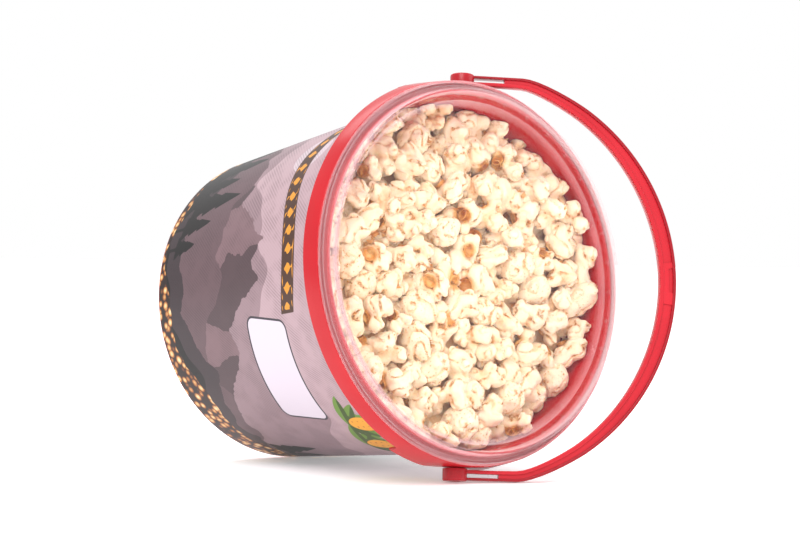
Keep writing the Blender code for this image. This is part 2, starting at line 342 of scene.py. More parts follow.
# An outline's corners are (radius, height, rounding). Each rounding becomes an arc.
def roundCorners(corners, closed=False):
    points = []
    count = len(corners)
    for i, (r, z, rounding) in enumerate(corners):
        here = Vector((r, z))
        if rounding <= 0 or (not closed and i in (0, count - 1)):
            points.append(here)
            continue
        before = Vector(corners[i - 1][:2]) - here
        after = Vector(corners[(i + 1) % count][:2]) - here
        angle = before.angle(after)
        cut = min(rounding / math.tan(angle / 2), before.length * 0.48, after.length * 0.48)
        radius = cut * math.tan(angle / 2)
        middle = (before.normalized() + after.normalized()).normalized()
        centre = here + middle * radius / math.sin(angle / 2)
        start = here + before.normalized() * cut - centre
        end = here + after.normalized() * cut - centre
        steps = max(2, round((math.pi - angle) / math.radians(22)))
        sweep = start.angle_signed(end)
        for k in range(steps + 1):
            points.append(centre + Matrix.Rotation(-sweep * k / steps, 2) @ start)
    return points


# Merges what touches, faces the surface outward and leaves edit mode
def closeMesh(touching=0.01):
    bpy.ops.mesh.select_all(action="SELECT")
    bpy.ops.mesh.remove_doubles(threshold=touching)
    bpy.ops.mesh.normals_make_consistent(inside=False)
    bpy.ops.object.mode_set(mode="OBJECT")


# A shape turned about Z: its outline is drawn by extruding a point, and then spun
def turnOutline(name, points, steps=180):
    deselectAll()
    bpy.ops.mesh.primitive_plane_add(size=1, location=(0, 0, 0))
    piece = bpy.context.object
    piece.name = name
    bpy.ops.object.mode_set(mode="EDIT")
    bpy.ops.mesh.merge(type="CENTER")
    bpy.ops.transform.translate(value=(points[0].x, 0, points[0].y))
    for one, two in zip(points, points[1:]):
        step = (two.x - one.x, 0, two.y - one.y)
        bpy.ops.mesh.extrude_vertices_move(TRANSFORM_OT_translate={"value": step})
    bpy.ops.mesh.select_all(action="SELECT")
    bpy.ops.mesh.spin(steps=steps, angle=2 * math.pi, center=(0, 0, 0), axis=(0, 0, 1))
    closeMesh()
    return piece


# A skin through rings of points: a grid is added, and each of its rows is set on one ring
def skinRings(name, rings):
    across, along = len(rings[0]), len(rings)
    deselectAll()
    bpy.ops.mesh.primitive_grid_add(x_subdivisions=across, y_subdivisions=along - 1, size=1)
    piece = bpy.context.object
    piece.name = name
    vertices = sorted(piece.data.vertices, key=lambda v: (round(v.co.y, 5), round(v.co.x, 5)))
    for i, vertex in enumerate(vertices):
        row, column = divmod(i, across + 1)
        vertex.co = rings[row][column % across]
    bpy.ops.object.mode_set(mode="EDIT")
    bpy.ops.mesh.select_all(action="SELECT")
    bpy.ops.mesh.remove_doubles(threshold=0.001)
    bpy.ops.mesh.select_all(action="DESELECT")
    bpy.ops.mesh.select_non_manifold(extend=False)
    bpy.ops.mesh.edge_face_add()
    closeMesh(0.001)
    return piece


def addLayer(mesh, name, value):
    layer = mesh.attributes.get(name) or mesh.attributes.new(name, "FLOAT", "POINT")
    layer.data.foreach_set("value", [value] * len(mesh.vertices))


def meshTree(mesh, place=Matrix.Identity(4)):
    corners = [place @ v.co for v in mesh.vertices]
    return BVHTree.FromPolygons(corners, [tuple(p.vertices) for p in mesh.polygons])


# Degrees round from the nearer lug
def lugAngle(co):
    return abs(math.degrees(math.atan2(co.y, co.x)) % 180 - 90)


pail = {
    "wallFootRadius": 97.5, "wallFootHeight": 2.8, "wallTopRadius": 105.3, "wall": 1.4,
    "footInner": 83.6, "footRing": 86.0, "footOuter": 94.9, "footHeight": 2.2,
    "floorRadius": 92.6, "floorHeight": 3.8, "flangeHeight": 189.3,
    "collarHeight": 194.5, "collarRadius": 113.0, "skirtRadius": 115.5, "collarDepth": 10.4,
    "grooveRadius": 111.5, "grooveFloor": 1.6, "rimOuter": 107.6, "rimInner": 105.2, "rimHeight": 196.3,
    # The collar band is deeper on each side of a lug, and flat under the handle's hub
    "lugDepth": 18.5, "lugHalfAngle": 23.6, "padDistance": 113.3,
}


def wallRadius(z):
    foot = pail["wallFootHeight"]
    return blend(pail["wallFootRadius"], pail["wallTopRadius"], (z - foot) / (pail["flangeHeight"] - foot))


def makePail():
    flange, collar = pail["flangeHeight"], pail["collarHeight"]
    skirtEnd = collar - pail["collarDepth"]
    groove = flange + pail["grooveFloor"]
    wall = pail["wall"]
    middle = 90.0
    outline = roundCorners([
        (0.0, pail["footHeight"], 0),
        (pail["footInner"], pail["footHeight"], 0.8),
        (pail["footRing"], 0.0, 1.2),
        (pail["footOuter"], 0.0, 2.4),
        (pail["wallFootRadius"], 3.4, 1.6),
        (wallRadius(middle), middle, 0),
        (pail["wallTopRadius"], flange, 0.3),
        (pail["collarRadius"] - 0.2, flange, 0.4),
        (pail["skirtRadius"] - 1.4, skirtEnd, 0.3),
        (pail["skirtRadius"], skirtEnd, 0.45),
        (pail["collarRadius"], collar, 0.6),
        (pail["grooveRadius"], collar, 0.3),
        (pail["grooveRadius"], groove, 0.4),
        (pail["rimOuter"], groove, 0.4),
        (pail["rimOuter"], pail["rimHeight"], 0.8),
        (pail["rimInner"], pail["rimHeight"], 0.8),
        (pail["rimInner"], groove, 0.3),
        (wallRadius(flange) - wall, flange - 0.6, 0.3),
        (wallRadius(middle) - wall, middle, 0),
        (wallRadius(8) - wall, 8.0, 3.0),
        (pail["floorRadius"], pail["floorHeight"], 1.5),
        (0.0, pail["floorHeight"], 0),
    ])
    shell = turnOutline("pailShell", points=outline, steps=180)
    # The band is cut at each end of its two deeper stretches, and its lower edge is moved down there
    bpy.ops.object.mode_set(mode="EDIT")
    for edge in (-0.15, 0.15):
        for side in (-1, 1):
            turn = math.radians(90 + side * (pail["lugHalfAngle"] + edge))
            across = (-math.sin(turn), math.cos(turn), 0)
            bpy.ops.mesh.select_all(action="SELECT")
            bpy.ops.mesh.bisect(plane_co=(0, 0, 0), plane_no=across, threshold=0.001)
    bpy.ops.object.mode_set(mode="OBJECT")
    drop = pail["lugDepth"] - pail["collarDepth"]
    pad = pail["padDistance"]
    for vertex in shell.data.vertices:
        co = vertex.co
        r = math.hypot(co.x, co.y)
        inBand = r > pail["wallTopRadius"] + 2 and co.z < skirtEnd + 1.2
        if inBand and lugAngle(co) < pail["lugHalfAngle"]:
            co.z -= drop
        # The outside and the inside of the band are flat under each hub
        if r > 113.9 and abs(co.y) > pad:
            co.y = math.copysign(pad, co.y)
        elif r > 111.6 and co.z < collar - 0.8 and abs(co.y) > pad - wall and co.z < flange + 0.5:
            co.y = math.copysign(min(abs(co.y), pad if r > 112.9 else pad - wall), co.y)
    finishPiece(shell, collarRed, "bucket", pailPlace, smoothAngle=28)
    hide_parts("pail")


makePail()
print("pail made")


lid = {
    "thickness": 1.0, "panelRadius": 97.3, "panelHeight": 191.5,
    "shelfInner": 100.7, "shelfUnder": 101.3, "shelfRadius": 104.0, "shelfHeight": 197.4,
    "ringRadius": 105.9, "ringHeight": 203.9, "crestInner": 107.7, "crestOuter": 111.4, "crestHeight": 197.8,
    "clipInner": 109.9, "clipOuter": 111.2, "lipRadius": 112.9,
    "nubs": 36, "nubSize": (1.8, 1.5, 2.2), "nubDistance": 103.9,
    # Thin lines along the ring edges painted whiter as highlights: how far out they lie, their half width
    # and how much extra milk they get
    "ridges": (111.3, 106.8, 105.1, 100.7), "ridgeHalf": 0.24, "paintedHighlightWeight": 3.6,
}


def makeLid():
    ring, top = lid["ringRadius"], lid["ringHeight"]
    panel, floor = lid["panelRadius"], lid["panelHeight"]
    shelf, crest = lid["shelfHeight"], lid["crestHeight"]
    thickness, under = lid["thickness"], pail["flangeHeight"] + 2.0
    outline = roundCorners([
        (0.0, floor - thickness, 0),
        (panel - 0.2, floor - thickness, 0.8),
        (panel + 1.2, floor - 0.4, 0.3),
        (lid["shelfUnder"], shelf - thickness, 0.4),
        (lid["shelfRadius"] + 0.2, shelf - thickness, 0.3),
        (ring - 0.5, top - thickness, 0.4),
        (ring + 0.3, top - thickness, 0.4),
        (ring + 0.9, shelf - 0.3, 0.4),
        (lid["clipInner"], shelf - 0.8, 0.4),
        (lid["clipInner"], under, 0.3),
        (lid["clipOuter"], under, 0.3),
        (lid["clipOuter"], pail["collarHeight"] + 0.3, 0.2),
        (lid["lipRadius"], pail["collarHeight"] + 0.3, 0.3),
        (lid["lipRadius"], pail["collarHeight"] + 1.1, 0.4),
        (lid["crestOuter"], crest, 0.7),
        (lid["crestInner"] + 0.5, crest - 0.5, 0.3),
        (lid["crestInner"], crest, 0.3),
        (ring + 1.0, top, 0.7),
        (ring - 0.9, top, 0.7),
        (lid["shelfRadius"] + 0.1, shelf, 0.5),
        (lid["shelfInner"], shelf, 0.6),
        (panel + 0.2, floor, 0.8),
        (panel - 6.0, floor, 0),
        (0.0, floor, 0),
    ])
    cover = turnOutline("lidCover", points=outline, steps=180)
    # Small ribs stand in the corner between the shelf and the raised ring
    nubs = []
    out = lid["nubDistance"]
    for i in range(lid["nubs"]):
        turn = math.radians(90 + 360 * i / lid["nubs"])
        deselectAll()
        bpy.ops.mesh.primitive_cube_add(size=1, location=(0, 0, 0))
        nub = bpy.context.object
        nub.scale = lid["nubSize"]
        bpy.ops.object.transform_apply(location=False, rotation=False, scale=True)
        applyModifier(nub, "BEVEL", width=0.5, segments=2)
        nub.location = (out * math.cos(turn), out * math.sin(turn), shelf + 0.4)
        nub.rotation_euler = (0, 0, turn)
        nubs.append(nub)
    cover = joinAll([cover] + nubs, "lidCover")
    # The rim is a little milkier than the panel, and the thin ridges are painted much milkier, as white
    # highlight lines along the ring edges
    milkAndPaintedHighlight = cover.data.attributes.new("milkAndPaintedHighlight", "FLOAT", "POINT")
    for vertex in cover.data.vertices:
        r = math.hypot(vertex.co.x, vertex.co.y)
        near = min(abs(r - at) for at in lid["ridges"]) < lid["ridgeHalf"]
        paintedHighlightLine = near and vertex.co.z > floor - 0.6
        milkAndPaintedHighlight.data[vertex.index].value = lid["paintedHighlightWeight"] if paintedHighlightLine else smoothStep((r - 103.5) / 5)
    finishPiece(cover, clearLid, "bucket", pailPlace, smoothAngle=30)
    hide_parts("lid")


makeLid()
print("lid made")


handle = {
    "hubRadius": 7.2, "hubInner": 113.7, "hubOuter": 121.0, "pegRadius": 2.6, "pegEnd": 108.7,
    "armOuter": 120.4, "armStraight": 36.3, "archRadius": 125.4, "archCentre": 5.1, "archStart": 35.0,
    "bend": 10.2, "depthAtHub": 6.0, "depthAtArm": 5.5, "depthAtArch": 9.7, "width": 6.5, "web": 3.9,
    "gripWeb": 5.6, "gripHalf": 13.0, "gripSteps": 26, "slotEnd": 25.4, "pocket": (-9.1, 5.4),
    # Each flange's thickness at the hub and at the arch, and how strongly painted shade darkens the flanges
    # and the hubs
    "outerFlange": (1.5, 1.8), "innerFlange": (2.1, 2.5),
    "paintedShadeOuter": 1.0, "paintedShadeInner": 0.15, "paintedShadeHub": 0.5,
}


def handleLine():
    # The outer line of the handle, from one hub round to the other: (place, outward, run from the hub)
    turnAt = math.radians(handle["archStart"])
    radius, centre = handle["archRadius"], handle["archCentre"]
    start = Vector((handle["armOuter"], handle["armStraight"]))
    end = Vector((radius * math.cos(turnAt), centre + radius * math.sin(turnAt)))
    one = start + Vector((0, handle["bend"]))
    two = end - Vector((-math.sin(turnAt), math.cos(turnAt))) * handle["bend"]
    armStart, bendSteps, archSteps = 3.0, 8, 36
    half = [Vector((handle["armOuter"], v)) for v in (armStart, 8, 14, 20, 23, handle["slotEnd"], 28, 32)]
    for i in range(bendSteps):
        t = i / bendSteps
        half.append(
            start * (1 - t) ** 3 + one * 3 * t * (1 - t) ** 2 + two * 3 * t * t * (1 - t) + end * t ** 3)
    for i in range(archSteps + 1):
        a = blend(turnAt, math.pi / 2, i / archSteps)
        half.append(Vector((radius * math.cos(a), centre + radius * math.sin(a))))
    line = half + [Vector((-p.x, p.y)) for p in reversed(half[:-1])]
    runs = [armStart]
    for here, there in zip(line, line[1:]):
        runs.append(runs[-1] + (there - here).length)
    stations = []
    for i, p in enumerate(line):
        along = (line[min(i + 1, len(line) - 1)] - line[max(i - 1, 0)]).normalized()
        stations.append((p, Vector((along.y, -along.x)), min(runs[i], runs[-1] + armStart - runs[i])))
    return stations


# A rounded bar's section at one place, from low to high inward of the handle's outer line
def barSection(place, outward, low, high, halfWidth, rounding):
    corners = [(-halfWidth, low, rounding), (halfWidth, low, rounding), (halfWidth, high, rounding),
               (-halfWidth, high, rounding)]
    ring = []
    for p in roundCorners(corners, closed=True):
        at = place - outward * p.y
        ring.append(Vector((p.x, at.x, at.y)))
    return ring


def makeHandle():
    outerRings, innerRings, webRings, gripRings = [], [], [], []
    half = handle["width"] / 2
    for p, outward, run in handleLine():
        # The bar deepens slowly from the arm to the middle of the arch
        depth = blend(handle["depthAtHub"], handle["depthAtArm"], smoothStep(run / 30))
        depth = blend(depth, handle["depthAtArch"], smoothStep((run + 7.6) / 175.9))
        grown = smoothStep((run - handle["slotEnd"]) / 50)
        outer, inner = blend(*handle["outerFlange"], grown), blend(*handle["innerFlange"], grown)
        outerRings.append(barSection(p, outward, 0.0, outer, half, 0.45))
        innerRings.append(barSection(p, outward, depth - inner, depth, half, 0.45))
        if run >= handle["slotEnd"] - 0.1:
            webRings.append(barSection(p, outward, outer - 0.5, depth - inner + 0.5, handle["web"] / 2, 0.1))
    gripTurn = handle["gripHalf"] / handle["archRadius"]
    depth = handle["depthAtArch"]
    for i in range(handle["gripSteps"] + 1):
        a = math.pi / 2 + blend(-gripTurn, gripTurn, i / handle["gripSteps"])
        outward = Vector((math.cos(a), math.sin(a)))
        p = Vector((0, handle["archCentre"])) + outward * handle["archRadius"]
        # A narrow pocket lies beside the outer flange
        run = -math.cos(a) * handle["archRadius"]
        low = 4.2 if handle["pocket"][0] < run < handle["pocket"][1] else 1.4
        gripRings.append(barSection(p, outward, low, depth - 2.1, handle["gripWeb"] / 2, 0.3))
    bars = [
        skinRings("outerFlange", outerRings), skinRings("innerFlange", innerRings),
        skinRings("web", webRings), skinRings("gripWeb", gripRings),
    ]
    # Painted shade: the outer flange is painted darkest, the inner flange a little, the webs not at all
    for bar, value in zip(bars, (handle["paintedShadeOuter"], handle["paintedShadeInner"], 0.0, 0.0)):
        addLayer(bar.data, "hatchAndPaintedShade", value)
    # Each hub has a peg with a small snap bead inside the collar, and a shallow dimple outside
    hubs = []
    peg, pegEnd, dimple = handle["pegRadius"], handle["pegEnd"], handle["hubOuter"] - 0.8
    outline = roundCorners([
        (0.0, pegEnd, 0),
        (2.8, pegEnd, 0.4),
        (3.3, 109.4, 0.3),
        (peg, 110.7, 0.2),
        (peg, handle["hubInner"], 0),
        (handle["hubRadius"], handle["hubInner"], 0.3),
        (handle["hubRadius"], handle["hubOuter"], 0.9),
        (3.4, handle["hubOuter"], 0.5),
        (2.9, dimple, 0.3),
        (0.0, dimple, 0),
    ])
    for side in (-1, 1):
        hub = turnOutline("hub", points=outline, steps=64)
        hub.rotation_euler = (-side * math.pi / 2, 0, 0)
        # Painted shade darkens the hubs as well
        addLayer(hub.data, "hatchAndPaintedShade", handle["paintedShadeHub"])
        hubs.append(hub)
    bail = joinAll(bars + hubs, "bailHandle")
    finishPiece(bail, bailRed, "bail", handlePlace, smoothAngle=30)
    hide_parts("handle")


makeHandle()
print("handle made")


label = {
    # The print is drawn on a roll of this radius, and stretches with the wall's taper
    "rollRadius": 100,
    "low": 4.2, "high": 187.6, "proud": 0.12, "steps": 360, "rows": 104, "repeats": 2,
    "paper": "#A98F95", "hatchPitch": 1.7, "hatchLean": 38, "hatchInk": "#3B2D31",
    "grain": 16, "pebble": 5.2,
    # Each field of the print and its ink, from the back to the front
    "inks": {
        "moon": "#BCAAB0", "farHills": "#8B7379", "mountain": "#735A5F", "mountainShade": "#4C3B3F",
        "midHills": "#5D484D", "nearHills": "#33282C", "pines": "#120D0E", "ribbon": "#42291F",
        "ribbonGold": "#C9862A", "leaves": "#5F7F30", "leafShade": "#384C1A", "seeds": "#DC9726",
        "seedShade": "#A9651A", "plaqueEdge": "#332D35", "plaque": "#C9BEC9",
    },
    # Fields whose edges are torn by the grain, and how far
    "ragged": ("mountain", "mountainShade", "midHills", "nearHills"), "tear": 14.0,
    # Height of each range of hills, then its waves: size, how many round, start
    "hills": {
        "farHills": (112, (14, 1, 0.6), (8, 3, 2.1), (4, 7, 0.4), (2, 13, 1.0)),
        "midHills": (62, (20, 1, 2.6), (7, 4, 1.0), (3, 9, 0.2), (1.4, 17, 2.0)),
        "nearHills": (36, (9, 2, -0.8), (4, 5, 2.0), (2, 11, 0.7)),
    },
    "peak": (
        (-92, 34), (-58, 92), (-44, 84), (-16, 124), (-4, 112), (8, 120), (34, 80), (48, 88), (92, 34),
    ),
    "peakShade": (
        ((-16, 124), (-4, 112), (8, 120), (34, 80), (26, 58), (40, 34), (2, 34), (10, 64), (-12, 86),
         (-8, 104)),
        ((-58, 92), (-44, 84), (-38, 66), (-50, 52), (-40, 34), (-74, 34), (-60, 56), (-64, 74)),
        ((48, 88), (92, 34), (66, 34), (56, 54)),
    ),
    # Across, foot, width and height of each tree
    "pines": (
        (-104, 26, 20, 36), (-88, 24, 26, 50), (-71, 22, 20, 38), (-54, 22, 26, 54), (-38, 20, 18, 34),
        (-24, 18, 16, 24), (134, 34, 22, 40), (150, 30, 18, 32),
    ),
    # Across, up and radius of the moon; across, up, half sizes, corner and lean of the plaque
    "moon": (-72, 138, 15), "plaque": (64, 118, 33, 19, 5, -9),
    # Height, half width and step of the ribbon (a diamond every 2.4 steps), its middle and half length
    "ribbon": (146, 6.5, 4.5, (-34, 64)),
    "sprigs": ((106, 158), (130, 146), (150, 158)), "leafLean": (-64, -40, -16, 12, 36, 62),
    "leaf": (27, 8.0), "seedHead": (6.5, 12), "seedPitch": 5,
}


def makeLabel():
    count = label["rows"]
    points = []
    for i in range(count + 1):
        z = blend(label["low"], label["high"], i / count)
        points.append(Vector((wallRadius(z) + label["proud"], z)))
    inner = [Vector((wallRadius(p.y) + 0.02, p.y)) for p in reversed(points)]
    outline = points + inner[:1] + inner[-1:] + points[:1]
    sleeve = turnOutline("labelSleeve", points=outline, steps=label["steps"])
    wrapLabel(sleeve)
    turns = [math.atan2(-v.co.y, -v.co.x) for v in sleeve.data.vertices]
    across = np.array(turns) * label["rollRadius"]
    up = np.array([v.co.z for v in sleeve.data.vertices])
    for name, field in printFields(across, up).items():
        layer = sleeve.data.attributes.new(name, "FLOAT", "POINT")
        layer.data.foreach_set("value", field.astype(np.float32))
    finishPiece(sleeve, labelPrint(), "bucket", pailPlace, smoothAngle=40)


# Each field of the print is how far a point lies inside its shape, in millimetres on the label
def outlineField(across, up, corners):
    inside = np.zeros(across.shape, bool)
    nearest = np.full(across.shape, 1e9)
    for (x1, y1), (x2, y2) in zip(corners, corners[1:] + corners[:1]):
        dx, dy = x2 - x1, y2 - y1
        t = np.clip(((across - x1) * dx + (up - y1) * dy) / (dx * dx + dy * dy), 0, 1)
        nearest = np.minimum(nearest, np.hypot(across - x1 - t * dx, up - y1 - t * dy))
        crosses = ((y1 > up) != (y2 > up)) & (across < x1 + (up - y1) * dx / (dy if dy else 1e-9))
        inside ^= crosses
    return np.where(inside, nearest, -nearest)


# A pointed leaf between two arcs, and the half of it that lies in shade
def leafField(across, up, x, y, length, width, lean):
    a = math.radians(lean)
    along = (across - x) * math.sin(a) + (up - y) * math.cos(a) - length / 2
    aside = (across - x) * math.cos(a) - (up - y) * math.sin(a)
    bow = (length ** 2 / 4 + width ** 2 / 4) / width
    one = bow - np.hypot(along, aside - (bow - width / 2))
    two = bow - np.hypot(along, aside + (bow - width / 2))
    return np.minimum(one, two), np.minimum(np.minimum(one, two), aside - 0.2)


def printFields(across, up):
    width = 2 * math.pi * label["rollRadius"] / label["repeats"]
    across = (across + width / 2) % width - width / 2
    turn = across * 2 * math.pi / width
    fields = {}
    x, y, r = label["moon"]
    fields["moon"] = r - np.hypot(across - x, up - y)
    for name, (height, *waves) in label["hills"].items():
        fields[name] = height - up
        for size, count, start in waves:
            fields[name] = fields[name] + size * np.sin(count * turn + start)
    fields["mountain"] = outlineField(across, up, label["peak"])
    fields["mountainShade"] = np.max(
        [outlineField(across, up, shape) for shape in label["peakShade"]], axis=0)
    # Each tree is three triangles on a trunk, and a dark slope lies under them
    pines = [fields["nearHills"] - 17]
    for x, foot, wide, high in label["pines"]:
        for tier in range(3):
            low, top = foot + high * tier * 0.26, foot + high * (0.48 + tier * 0.26)
            half = wide / 2 * (1 - tier * 0.24)
            pines.append(outlineField(across, up, ((x - half, low), (x + half, low), (x, top))))
        trunk = ((x - 1.2, 8), (x + 1.2, 8), (x + 1.2, foot + 2), (x - 1.2, foot + 2))
        pines.append(outlineField(across, up, trunk))
    fields["pines"] = np.max(pines, axis=0)
    # A ribbon with a row of diamonds between two lines
    height, half, step, (middle, extent) = label["ribbon"]
    off = np.abs(up - height - 7 * np.sin((across - middle) / 22))
    ends = extent - np.abs(across - middle)
    fields["ribbon"] = np.minimum(half - off, ends)
    beat = np.abs((across % (step * 2.4)) - step * 1.2)
    diamonds = 3.4 - off - beat * 0.9
    lines = 0.45 - np.abs(off - half + 1.5)
    fields["ribbonGold"] = np.minimum(np.maximum(diamonds, lines), ends - 2)
    # A sprig: leaves round a head of seeds
    blades, shades, heads, dots = [], [], [], []
    wide, high = label["seedHead"]
    pitch = label["seedPitch"]
    for x, y in label["sprigs"]:
        for lean in label["leafLean"]:
            blade, shade = leafField(across, up, x, y - 14, *label["leaf"], lean)
            blades.append(blade)
            shades.append(shade)
        heads.append(wide * (1 - np.hypot((across - x) / wide, (up - y) / high)))
        seedX = (across - x + 20) % pitch - pitch / 2
        seedY = (up - y + 20) % pitch - pitch / 2
        dots.append(np.minimum(1.0 - np.hypot(seedX, seedY), heads[-1] - 1))
    fields["leaves"], fields["leafShade"] = np.max(blades, axis=0), np.max(shades, axis=0)
    fields["seeds"], fields["seedShade"] = np.max(heads, axis=0), np.max(dots, axis=0)
    x, y, long, high, corner, lean = label["plaque"]
    a = math.radians(lean)
    s = np.abs((across - x) * math.cos(a) + (up - y) * math.sin(a)) - (long - corner)
    t = np.abs((up - y) * math.cos(a) - (across - x) * math.sin(a)) - (high - corner)
    outside = np.hypot(np.maximum(s, 0), np.maximum(t, 0))
    fields["plaque"] = corner - outside - np.minimum(np.maximum(s, t), 0)
    fields["plaqueEdge"] = fields["plaque"] + 1.3
    pebbles = 17 + 9 * np.sin(turn - 0.6) + 3 * np.sin(5 * turn + 0.6) + 1.6 * np.abs(np.sin(12 * turn))
    fields["pebbles"] = pebbles - up
    return fields


# The label's map is in metres: across from the middle of its front, and up from the foot
def wrapLabel(piece):
    layer = piece.data.uv_layers.get("UVMap") or piece.data.uv_layers.new(name="UVMap")
    for polygon in piece.data.polygons:
        front = math.atan2(-polygon.center.y, -polygon.center.x)
        for loop in polygon.loop_indices:
            co = piece.data.vertices[piece.data.loops[loop].vertex_index].co
            turn = math.atan2(-co.y, -co.x)
            if turn - front > math.pi:
                turn -= 2 * math.pi
            elif front - turn > math.pi:
                turn += 2 * math.pi
            layer.data[loop].uv = (turn * label["rollRadius"] * mm, co.z * mm)


inkEdge = 0.12  # half the width, in millimetres, over which one ink gives way to the next
wavePeriod = 0.314  # a wave texture of scale 1 repeats after this many units


def labelPrint():
    # In-mould printed film: satin, with mauve inks for the hills and a few bright ones before them
    material, tree, surface = newMaterial(
        "printedLabelFilm", {"Roughness": 0.4, "IOR": polypropyleneIor, "Specular IOR Level": 0.22})
    at = addNode(tree, "UVMap", uv_map="UVMap").outputs["UV"]
    grain = addNode(tree, "TexNoise", {"Vector": at, "Scale": 1 / (label["grain"] * mm), "Detail": 5.0})
    # Fine slanting lines stand for an engraver's shading, drawn coarse enough to show
    lean = math.radians(label["hatchLean"])
    slant = addNode(tree, "Mapping", {"Vector": at, "Rotation": (0, 0, lean)})
    lines = addNode(
        tree, "TexWave",
        {"Vector": slant.outputs["Vector"], "Scale": wavePeriod / (label["hatchPitch"] * mm)},
    )
    worn = addNode(
        tree, "MapRange",
        {"Value": grain.outputs["Fac"], "From Min": 0.42, "From Max": 0.58, "To Min": 0.15, "To Max": 1.0},
    )
    hatch = addNode(
        tree, "Math", {0: lines.outputs["Fac"], 1: worn.outputs["Result"]}, operation="MULTIPLY")
    colour = linearColour(label["paper"])
    for name, hexCode in label["inks"].items():
        field = addNode(tree, "Attribute", attribute_name=name)
        # The rough edge of the hills and the rock comes from the grain, and the plain shapes are sharp
        rough = label["tear"] if name in label["ragged"] else 0.0
        ragged = addNode(
            tree, "Math", {0: grain.outputs["Fac"], 1: rough, 2: field.outputs["Fac"]},
            operation="MULTIPLY_ADD",
        )
        mask = addNode(
            tree, "MapRange",
            {"Value": ragged.outputs["Value"],
             "From Min": rough / 2 - inkEdge, "From Max": rough / 2 + inkEdge},
        )
        colour = addNode(
            tree, "MixRGB",
            {"Fac": mask.outputs["Result"], "Color1": colour, "Color2": linearColour(hexCode)},
        ).outputs["Color"]
        # The lines shade the sky, the hills and the rock, and not what stands before them
        if name == "nearHills":
            hatchAndPaintedShade = addNode(tree, "Math", {0: hatch.outputs["Value"], 1: 0.36}, operation="MULTIPLY")
            colour = addNode(
                tree, "MixRGB",
                {"Fac": hatchAndPaintedShade.outputs["Value"], "Color1": colour, "Color2": linearColour(label["hatchInk"])},
            ).outputs["Color"]
    # A heap of pale pebbles runs along the foot
    cells = addNode(tree, "TexVoronoi", {"Vector": at, "Scale": 1 / (label["pebble"] * mm)})
    pick = addNode(tree, "SeparateColor", {"Color": cells.outputs["Color"]})
    shade = addNode(
        tree, "Math", {0: pick.outputs["Red"], 1: 0.22, 2: cells.outputs["Distance"]},
        operation="MULTIPLY_ADD",
    )
    pebble = setRamp(
        addNode(tree, "ValToRGB", {"Fac": shade.outputs["Value"]}),
        [(0.12, "#E3CDA6"), (0.32, "#D8B078"), (0.5, "#A86A35"), (0.62, "#5A3220"), (0.72, "#241614")],
    )
    field = addNode(tree, "Attribute", attribute_name="pebbles")
    edge = addNode(tree, "MapRange", {"Value": field.outputs["Fac"], "From Min": -0.3, "From Max": 0.3})
    whole = addNode(
        tree, "MixRGB", {"Fac": edge.outputs["Result"], "Color1": colour, "Color2": pebble.outputs["Color"]})
    tree.links.new(whole.outputs["Color"], surface.inputs["Base Color"])
    return material


makeLabel()
print("label made")


heap = {
    "seed": 7, "depth": 34.0, "kernels": 246, "gap": 9.3, "rounds": 90, "faces": 3300, "coreDrop": 11.0,
    # How much larger the kernels are than drawn, how unevenly they stretch, and how their toasting varies
    "grow": 1.31, "stretch": (0.84, 1.1), "toast": 0.07,
    # The top that the kernels lie under is up to lift higher than the solid's on the side of highSide.
    # Their middles stay underTop below it, and fromWall in from the wall
    "highSide": (0.42, 0.91), "lift": 16.0, "highest": 186.0, "underTop": 4.6, "fromWall": 5.8,
}
heapNode = frame["nodes"]["popcorn"]
heapTree = meshTree(heapNode.data, pailInverse)


def heapTop(x, y):
    hit = heapTree.ray_cast(Vector((x, y, 300)), Vector((0, 0, -1)))[0]
    lean = (x * heap["highSide"][0] + y * heap["highSide"][1]) / 100
    return min((hit.z if hit else 150.0) + heap["lift"] * smoothStep((lean - 0.1) / 0.75), heap["highest"])


# Each kind, in millimetres before it is grown: the radius of its core; the big puffs round it, the range
# of their sizes, how far out they lie and how flat; bumps on each puff; hull cups at its foot; and how
# pebbled its skin is
kernelParts = ("core", "puffs", "size", "spread", "flat", "bumps", "cups", "pebble")
kernelKinds = {
    "popcornButterfly": (4.8, 4, (4.6, 6.2), 5.6, 0.85, 2, 1, 0.0),
    "popcornWings": (4.2, 3, (5.2, 6.8), 6.2, 0.75, 2, 1, 0.1),
    "popcornCluster": (5.0, 7, (3.2, 4.8), 5.6, 1.0, 2, 1, 0.0),
    "popcornMushroom": (8.2, 6, (3.4, 4.6), 5.6, 1.0, 0, 0, 0.7),
    "popcornBall": (7.4, 5, (4.0, 5.6), 5.4, 0.95, 2, 1, 0.0),
    "popcornFlake": (3.8, 5, (3.6, 5.0), 6.8, 0.55, 3, 2, 0.1),
    "popcornTwist": (4.4, 5, (3.4, 5.4), 6.6, 0.8, 3, 2, 0.0),
}


def addBall(at, size, level=2):
    bpy.ops.mesh.primitive_ico_sphere_add(subdivisions=level, radius=size, location=at)
    return bpy.context.object


def randomDirection(rng, lowest=-1.0):
    z = rng.uniform(lowest, 1.0)
    a = rng.uniform(0, 2 * math.pi)
    return Vector((math.cos(a) * math.sqrt(1 - z * z), math.sin(a) * math.sqrt(1 - z * z), z))


def spreadDirections(rng, count, lowest):
    directions = []
    while len(directions) < count:
        best = max(
            (randomDirection(rng, lowest) for _ in range(7)),
            key=lambda d: min([(d - other).length for other in directions] + [9]),
        )
        directions.append(best)
    return directions


